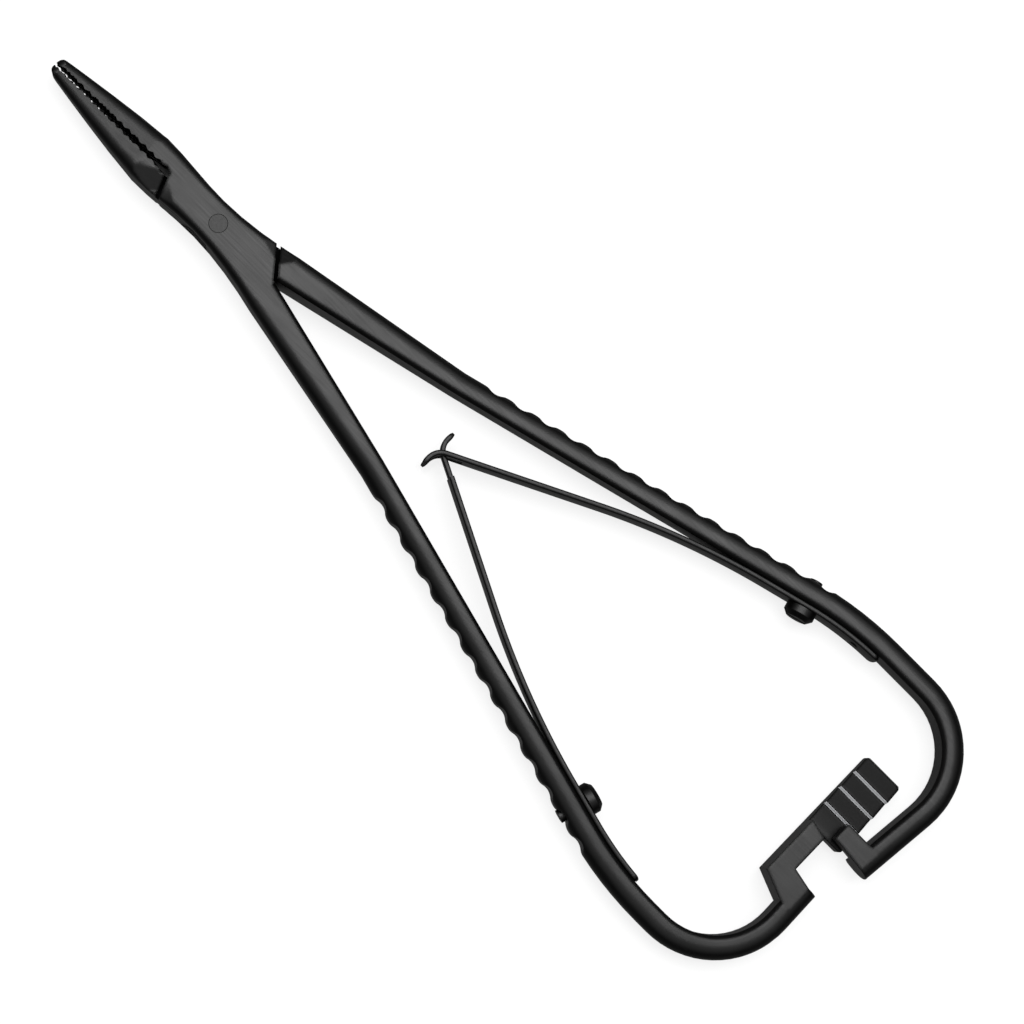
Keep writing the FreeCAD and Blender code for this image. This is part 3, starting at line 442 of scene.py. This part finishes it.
class LeafPath:
    """The middle line of one spring, from the tail to the tip, drawn run by run."""

    def __init__(self, leaf, side, tail):
        self.leaf = leaf
        self.side = side
        self.tail = tail
        self.centre = Vector((-leaf.apex_x, leaf.bow_half - leaf.bow_round))
        self.points = []
        self.run = 0
        on_face = leaf.bow_round - leaf.bar - leaf.seat - leaf.thick / 2
        heading, place = self.seat(0)
        self.heading = heading
        self.points.append(place)
        self.arc(on_face, leaf.grip_turn)
        self.straight(leaf.flat / math.cos(leaf.grip_turn))
        # The free run goes straight to the crossing, and an arc joins it to the run on the handle.
        x, y = self.points[-1]
        slope, fall = math.tan(leaf.grip_turn), math.tan(leaf.free_turn)
        corner_x = (y + x * slope + leaf.cross_x * fall) / (slope - fall)
        tangent = (corner_x - x) / math.cos(leaf.grip_turn)
        self.arc(tangent / math.tan((leaf.free_turn - leaf.grip_turn) / 2), leaf.free_turn)
        ahead = (-leaf.cross_x - self.points[-1].x) / math.cos(leaf.free_turn)
        self.crossing = self.run + ahead
        self.straight(ahead - leaf.curl_before)
        self.arc(leaf.curl_round, leaf.free_turn + leaf.curl_turn)
        self.straight(leaf.curl_tip)

    def seat(self, ahead):
        """Slope and place of the strip's middle, a distance along the instrument from the tail."""
        leaf = self.leaf
        inner = leaf.bow_round - leaf.bar
        reach = inner - leaf.seat - leaf.thick / 2
        slope = min(math.asin((self.tail + ahead) / inner), leaf.grip_turn)
        along = (self.tail + ahead - inner * math.sin(slope)) / math.cos(slope)
        return slope, self.centre + Vector((
            reach * math.sin(slope) + along * math.cos(slope),
            reach * math.cos(slope) - along * math.sin(slope)))

    def straight(self, size):
        """Goes straight ahead."""
        ahead = Vector((math.cos(self.heading), -math.sin(self.heading)))
        self.points.append(self.points[-1] + ahead * size)
        self.run += size

    def arc(self, radius, heading):
        """Turns to a new slope, in at least two steps of no more than the path's step each."""
        start = self.heading
        steps = max(2, math.ceil(radius * (heading - start) / STEP))
        origin = self.points[-1] - Vector((math.sin(start), math.cos(start))) * radius
        for step in range(1, steps + 1):
            slope = start + (heading - start) * step / steps
            self.points.append(origin + Vector((math.sin(slope), math.cos(slope))) * radius)
        self.run += radius * (heading - start)
        self.heading = heading

    def mesh(self, name, height):
        """The line as a chain of mesh edges at one height."""
        made = bpy.data.meshes.new(name)
        made.from_pydata([(x, y * self.side, height) for x, y in self.points],
                         [(number, number + 1) for number in range(len(self.points) - 1)], [])
        return made


def strip_nodes():
    """A node group that sweeps a rounded strip along a chain of edges, splits its end into tips and
    drills it."""
    group = bpy.data.node_groups.new("leaf_strip", "GeometryNodeTree")
    face = group.interface
    face.new_socket("Geometry", in_out="INPUT", socket_type="NodeSocketGeometry")
    for name in ("Thickness", "Width", "Edge Radius", "Split", "Tip Width", "Tip Offset", "End Taper",
                 "Screw Hole", "Stud Hole"):
        face.new_socket(name, in_out="INPUT", socket_type="NodeSocketFloat")
    face.new_socket("Tips", in_out="INPUT", socket_type="NodeSocketInt")
    for name in ("Screw Place", "Screw Turn", "Stud Place", "Stud Turn"):
        face.new_socket(name, in_out="INPUT", socket_type="NodeSocketVector")
    face.new_socket("Material", in_out="INPUT", socket_type="NodeSocketMaterial")
    face.new_socket("Geometry", in_out="OUTPUT", socket_type="NodeSocketGeometry")
    given = group.nodes.new("NodeGroupInput").outputs

    def node(kind, links=(), **settings):
        return add_node(group, kind, links, **settings)

    def math_node(operation, *values):
        return node("ShaderNodeMath", list(enumerate(values)), operation=operation).outputs[0]

    def strip(path, width, back):
        """One strip with one rounded end: its start where back is true, and else its end."""
        along = node("GeometryNodeSplineParameter").outputs["Length"]
        total = node("GeometryNodeSplineLength").outputs["Length"]
        left = along if back else math_node("SUBTRACT", total, along)
        share = node("ShaderNodeMapRange", [
            ("Value", left), ("From Min", 0.0), ("From Max", given["End Taper"]), ("To Min", 1.0),
            ("To Max", 0.0)]).outputs["Result"]
        size = math_node("SQRT", math_node("SUBTRACT", 1.0, math_node(
            "MULTIPLY", END_TAKEN, math_node("MULTIPLY", share, share))))
        level = node("GeometryNodeSetCurveNormal", [("Curve", path)], mode="Z_UP")
        outline = node("GeometryNodeCurvePrimitiveQuadrilateral", [
            ("Width", given["Thickness"]), ("Height", width)])
        bent = node("GeometryNodeFilletCurve", [
            ("Curve", outline.outputs["Curve"]), ("Radius", given["Edge Radius"]), ("Count", EDGE_STEPS),
            ("Limit Radius", True)], mode="POLY")
        return node("GeometryNodeCurveToMesh", [
            ("Curve", level.outputs["Curve"]), ("Profile Curve", bent.outputs["Curve"]),
            ("Scale", size), ("Fill Caps", True)]).outputs["Mesh"]

    def trimmed(start, end):
        return node("GeometryNodeTrimCurve", [
            ("Curve", dense.outputs["Curve"]), ("Start_001", start), ("End_001", end)],
            mode="LENGTH").outputs["Curve"]

    def drill(place, rotation, width):
        hole = node("GeometryNodeMeshCylinder", [
            ("Vertices", DRILL_SIDES), ("Radius", math_node("MULTIPLY", width, 0.5)),
            ("Depth", DRILL_LONG)])
        return node("GeometryNodeTransform", [
            ("Geometry", hole.outputs["Mesh"]), ("Translation", place), ("Rotation", rotation)
        ]).outputs["Geometry"]

    line = node("GeometryNodeMeshToCurve", [("Mesh", given["Geometry"])])
    dense = node("GeometryNodeResampleCurve", [("Curve", line.outputs["Curve"]), ("Length", STEP)],
                 mode="LENGTH")
    body = strip(trimmed(0.0, given["Split"]), given["Width"], True)
    # A tip reaches back into the strip, so that the two join in one skin.
    tip_start = math_node("SUBTRACT", given["Split"], TIP_OVERLAP)
    tip = strip(trimmed(tip_start, PAST_END), given["Tip Width"], False)
    below = node("ShaderNodeCombineXYZ", [("Z", math_node("MULTIPLY", given["Tip Offset"], -1.0))])
    apart = node("ShaderNodeCombineXYZ", [("Z", math_node("MULTIPLY", given["Tip Offset"], 2.0))])
    spots = node("GeometryNodeMeshLine", [
        ("Count", given["Tips"]), ("Start Location", below.outputs["Vector"]),
        ("Offset", apart.outputs["Vector"])])
    tips = node("GeometryNodeInstanceOnPoints", [("Points", spots.outputs["Mesh"]), ("Instance", tip)])
    real = node("GeometryNodeRealizeInstances", [("Geometry", tips.outputs["Instances"])])
    whole = node("GeometryNodeMeshBoolean", [], operation="UNION", solver="EXACT")
    group.links.new(body, whole.inputs["Mesh 2"])
    group.links.new(real.outputs["Geometry"], whole.inputs["Mesh 2"])
    drilled = node("GeometryNodeMeshBoolean", [("Mesh 1", whole.outputs["Mesh"])],
                   operation="DIFFERENCE", solver="EXACT")
    for kind in ("Screw", "Stud"):
        cutter = drill(given[f"{kind} Place"], given[f"{kind} Turn"], given[f"{kind} Hole"])
        group.links.new(cutter, drilled.inputs["Mesh 2"])
    smooth = node("GeometryNodeSetShadeSmooth", [("Geometry", drilled.outputs["Mesh"])])
    coated = node("GeometryNodeSetMaterial", [
        ("Geometry", smooth.outputs["Geometry"]), ("Material", given["Material"])])
    result = group.nodes.new("NodeGroupOutput")
    group.links.new(coated.outputs["Geometry"], result.inputs["Geometry"])
    return group


def swept_spring(name, path, group, values):
    """One spring from its path and the group's inputs."""
    holder = bpy.data.objects.new(name, path.mesh(name, values.pop("Height")))
    bpy.context.scene.collection.objects.link(holder)
    sweep = holder.modifiers.new("leaf_strip", "NODES")
    sweep.node_group = group
    names = {item.name: item.identifier for item in group.interface.items_tree
             if item.item_type == "SOCKET" and item.in_out == "INPUT"}
    for key, setting in values.items():
        sweep[names[key]] = setting
    bpy.context.view_layer.update()
    made = bpy.data.meshes.new_from_object(holder.evaluated_get(bpy.context.evaluated_depsgraph_get()))
    holder.modifiers.clear()
    holder.data = made
    made.name = name
    if not made.polygons:
        raise RuntimeError(f"{name} came out empty")
    made.set_sharp_from_angle(angle=LEAF_SHARP)
    return holder


def quarter_turn(mesh):
    """Turns a screw by a quarter about its own axis, so that its slot runs along the handle."""
    corners = [corner.co for corner in mesh.vertices]
    middle = sum(corners, Vector()) / len(corners)
    # The screw lies level, so the longest spread of its corners in X and Y gives its axis.
    spread = [[sum((corner[a] - middle[a]) * (corner[b] - middle[b]) for corner in corners)
               for b in (0, 1)] for a in (0, 1)]
    bearing = math.atan2(2 * spread[0][1], spread[0][0] - spread[1][1]) / 2
    axis = Vector((math.cos(bearing), math.sin(bearing), 0))
    low = min(corner.z for corner in corners)
    high = max(corner.z for corner in corners)
    middle.z = (low + high) / 2
    mesh.transform(Matrix.Translation(middle) @ Matrix.Rotation(math.pi / 2, 4, axis)
                   @ Matrix.Translation(-middle))


class NEEDLE_OT_levers(bpy.types.Operator):
    """Makes the two coated levers with their edges rounded off"""

    bl_idname = "needle_holder.levers"
    bl_label = "Levers"

    def execute(self, context):
        finish = context.scene.needle_finish
        edges = context.scene.needle_edges
        zones = {
            # The ratchet's steep faces are painted near white and rough: a painted highlight for the light
            # that they catch. The lands between them are painted a deeper black: painted shade between the
            # teeth and under the pawl.
            "box_lever": [(finish.highlight_low, finish.highlight_high, "Y", finish.ratchet_painted_highlight, finish.highlight_rough),
                          (finish.land_low, finish.land_high, "Z", finish.painted_land_shade, finish.satin)],
            # The waist's face inside the box is painted near black and made rough: painted shade for the
            # deep recess between the box's plates.
            "through_lever": [(finish.waist_low, finish.waist_high, "Z", finish.painted_waist_shade, finish.dull_rough)],
        }
        low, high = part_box("pivot_pin")
        crown = (finish.polish, (high.x - low.x) / 2 + finish.polish, finish.heel, finish.brow)
        for node, body in LEVERS.items():
            material = coated_steel(f"black_satin_{node}", finish.coat, finish.satin, finish.grit, "X",
                                    zones[node], crown)
            piece = finished_copy(node, material, edges.lever_round, edges.sharp_angle)
            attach(piece, body)
        return {"FINISHED"}


class NEEDLE_OT_springs(bpy.types.Operator):
    """Makes the two leaf springs, each laid along its own handle"""

    bl_idname = "needle_holder.springs"
    bl_label = "Leaf springs"

    def execute(self, context):
        finish = context.scene.needle_finish
        leaf = context.scene.needle_leaf
        group = strip_nodes()
        for node, (own, other, side) in SPRINGS.items():
            tongue = node == "tongue_spring"
            path = LeafPath(leaf, side, leaf.box_tail if tongue else leaf.through_tail)
            low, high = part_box(node)
            height = (low.z + high.z) / 2
            tip_wide = leaf.tongue_wide if tongue else (leaf.wide - leaf.fork_slot) / 2
            values = {
                "Height": height,
                "Thickness": leaf.thick,
                "Width": leaf.wide,
                "Edge Radius": leaf.edge_round,
                "Split": path.crossing - (leaf.tongue_start if tongue else leaf.fork_start),
                "Tip Width": tip_wide,
                "Tip Offset": 0.0 if tongue else (leaf.wide - tip_wide) / 2,
                "Tips": 1 if tongue else 2,
                "End Taper": leaf.end_taper,
                "Screw Hole": leaf.screw_hole,
                "Stud Hole": leaf.stud_hole,
                "Material": coated_steel(f"black_leaf_{node}", finish.leaf, finish.satin, finish.grit, "X"),
            }
            for kind, ahead in (("Screw", leaf.stud_in + leaf.screw_apart), ("Stud", leaf.stud_in)):
                slope, place = path.seat(ahead)
                values[f"{kind} Place"] = (place.x, place.y * side, height)
                values[f"{kind} Turn"] = (math.pi / 2, 0.0, -slope * side)
            piece = swept_spring(f"{node}_finished", path, group, values)
            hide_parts(node)
            start = Vector((path.seat(leaf.stud_in + leaf.screw_apart)[1].x, 0, height))
            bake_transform(piece)
        return {"FINISHED"}


class NEEDLE_OT_fasteners(bpy.types.Operator):
    """Makes the pivot pin, the two screws and the two studs"""

    bl_idname = "needle_holder.fasteners"
    bl_label = "Pin, screws and studs"

    def execute(self, context):
        finish = context.scene.needle_finish
        edges = context.scene.needle_edges
        material = coated_steel("black_turned_steel", finish.turned, finish.satin, finish.grit, "Z")
        for node, (body, slot) in FASTENERS.items():
            piece = finished_copy(node, material, edges.small_round, edges.sharp_angle)
            if node.endswith("_screw"):
                quarter_turn(piece.data)
            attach(piece, body)
        return {"FINISHED"}


class NEEDLE_OT_stage(bpy.types.Operator):
    """Makes the pale floor, the soft lamps and the camera"""

    bl_idname = "needle_holder.stage"
    bl_label = "Stage"

    def execute(self, context):
        stage = context.scene.needle_stage
        floor_mesh = bpy.data.meshes.new("floor")
        corners = [(-1, -1), (1, -1), (1, 1), (-1, 1)]
        floor_mesh.from_pydata([(x * FLOOR_HALF, y * FLOOR_HALF, -FLOOR_DROP) for x, y in corners],
                               [], [(0, 1, 2, 3)])
        floor = bpy.data.objects.new("floor", floor_mesh)
        context.scene.collection.objects.link(floor)
        floor_mesh.materials.append(paper_floor(stage.paper, stage.glow, stage.carded))
        # The main softbox hangs above and a little to the far side, so flats shine and shoulders
        # fall off to black. The fill beside it only reaches the slopes that face the far side.
        for name, place, long, wide, share in LAMPS:
            lamp = bpy.data.lights.new(name, "AREA")
            lamp.shape = "RECTANGLE"
            lamp.size = long
            lamp.size_y = wide
            lamp.energy = stage.softbox * share
            holder = bpy.data.objects.new(name, lamp)
            context.scene.collection.objects.link(holder)
            holder.location = MIDDLE + Vector(place)
            holder.rotation_euler = (-Vector(place)).to_track_quat("-Z", "Y").to_euler()
        world = bpy.data.worlds.new("studio")
        context.scene.world = world
        world.use_nodes = True
        world.node_tree.nodes.clear()
        # The tent around the table lights the paper evenly. In the steel it shows as a pale ceiling
        # over dark walls, which keeps the rounded shoulders nearly black.
        path = add_node(world.node_tree, "ShaderNodeLightPath")
        away = add_node(world.node_tree, "ShaderNodeTexCoord")
        height = add_node(world.node_tree, "ShaderNodeSeparateXYZ", [("Vector", away.outputs["Generated"])])
        shown = add_node(world.node_tree, "ShaderNodeMapRange", [
            ("Value", height.outputs["Z"]), ("From Min", CEILING_FROM), ("From Max", CEILING_TO),
            ("To Min", stage.room), ("To Max", stage.ceiling)], interpolation_type="SMOOTHSTEP")
        seen = add_node(world.node_tree, "ShaderNodeMapRange", [
            ("Value", path.outputs["Is Glossy Ray"]), ("To Min", stage.tent),
            ("To Max", shown.outputs["Result"])])
        # The camera sees a wall as pale as the paper.
        wall = add_node(world.node_tree, "ShaderNodeMapRange", [
            ("Value", path.outputs["Is Camera Ray"]), ("To Min", seen.outputs["Result"]),
            ("To Max", stage.wall)])
        sky = add_node(world.node_tree, "ShaderNodeBackground", [
            ("Color", linear("#ffffff")), ("Strength", wall.outputs["Result"])])
        add_node(world.node_tree, "ShaderNodeOutputWorld", [("Surface", sky.outputs["Background"])])
        # The instrument points up and to the left in the picture, by stage.turn from the horizontal.
        back = Vector((0, math.sin(stage.tilt), math.cos(stage.tilt)))
        across = Vector((0, math.cos(stage.tilt), -math.sin(stage.tilt)))
        along = Vector((1, 0, 0))
        right = -along * math.cos(stage.turn) - across * math.sin(stage.turn)
        up = along * math.sin(stage.turn) - across * math.cos(stage.turn)
        view = bpy.data.cameras.new("camera")
        view.sensor_width = SENSOR
        view.lens = SENSOR * stage.distance / stage.width
        view.clip_start = 0.01
        camera = bpy.data.objects.new("camera", view)
        context.scene.collection.objects.link(camera)
        camera.matrix_world = Matrix.Translation(MIDDLE + back * stage.distance) @ Matrix(
            (right, up, back)).transposed().to_4x4()
        context.scene.camera = camera
        context.scene.view_settings.view_transform = "Standard"
        return {"FINISHED"}


def paper_floor(colour, glow, carded):
    """Matt white paper, lit from below as on a light table. The camera sees it nearly clean white
    with a faint soft shadow, and in the steel it shows as plain paper."""
    material = bpy.data.materials.new("white_paper")
    material.use_nodes = True
    tree = material.node_tree
    tree.nodes.clear()
    shader = add_node(tree, "ShaderNodeBsdfPrincipled", [
        ("Base Color", list(colour)), ("Roughness", 0.9), ("Specular IOR Level", 0.1)])
    light = add_node(tree, "ShaderNodeEmission", [("Color", list(colour)), ("Strength", 1.0)])
    path = add_node(tree, "ShaderNodeLightPath")
    share = add_node(tree, "ShaderNodeMath", [(0, path.outputs["Is Camera Ray"]), (1, glow)],
                     operation="MULTIPLY")
    both = add_node(tree, "ShaderNodeMixShader", [
        (0, share.outputs["Value"]), (1, shader.outputs["BSDF"]), (2, light.outputs["Emission"])])
    # Black cards stand round the instrument, just out of the picture, so the steel shows less paper.
    card = add_node(tree, "ShaderNodeEmission", [("Color", list(colour)), ("Strength", carded)])
    steel = add_node(tree, "ShaderNodeMixShader", [
        (0, path.outputs["Is Glossy Ray"]), (1, both.outputs["Shader"]), (2, card.outputs["Emission"])])
    add_node(tree, "ShaderNodeOutputMaterial", [("Surface", steel.outputs["Shader"])])
    return material


class NEEDLE_PT_panel(bpy.types.Panel):
    """Lists the needle holder's operators in the 3D view's sidebar"""

    bl_idname = "NEEDLE_PT_panel"
    bl_label = "Needle holder"
    bl_space_type = "VIEW_3D"
    bl_region_type = "UI"
    bl_category = "Needle holder"

    def draw(self, context):
        for name, kind in GROUPS.items():
            box = self.layout.box()
            for key in kind.__annotations__:
                box.prop(getattr(context.scene, name), key)
        for operator in OPERATORS:
            self.layout.operator(operator.bl_idname)


OPERATORS = (NEEDLE_OT_levers, NEEDLE_OT_springs, NEEDLE_OT_fasteners, NEEDLE_OT_stage)
GROUPS = {
    "needle_finish": FinishSizes,
    "needle_edges": EdgeSizes,
    "needle_leaf": LeafSizes,
    "needle_stage": StageSizes,
}


def register():
    """Registers the groups of sizes on the scene, then the operators and the panel."""
    for name, group in GROUPS.items():
        bpy.utils.register_class(group)
        setattr(bpy.types.Scene, name, PointerProperty(type=group))
    for item in (*OPERATORS, NEEDLE_PT_panel):
        bpy.utils.register_class(item)


def unregister():
    """Takes everything out again, in the opposite order."""
    for item in (NEEDLE_PT_panel, *reversed(OPERATORS)):
        bpy.utils.unregister_class(item)
    for name, group in reversed(GROUPS.items()):
        delattr(bpy.types.Scene, name)
        bpy.utils.unregister_class(group)


def main():
    """Makes the whole scene."""
    register()
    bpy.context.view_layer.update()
    bpy.ops.needle_holder.levers()
    bpy.ops.needle_holder.springs()
    bpy.ops.needle_holder.fasteners()
    bpy.ops.needle_holder.stage()


if __name__ == "__main__":
    main()
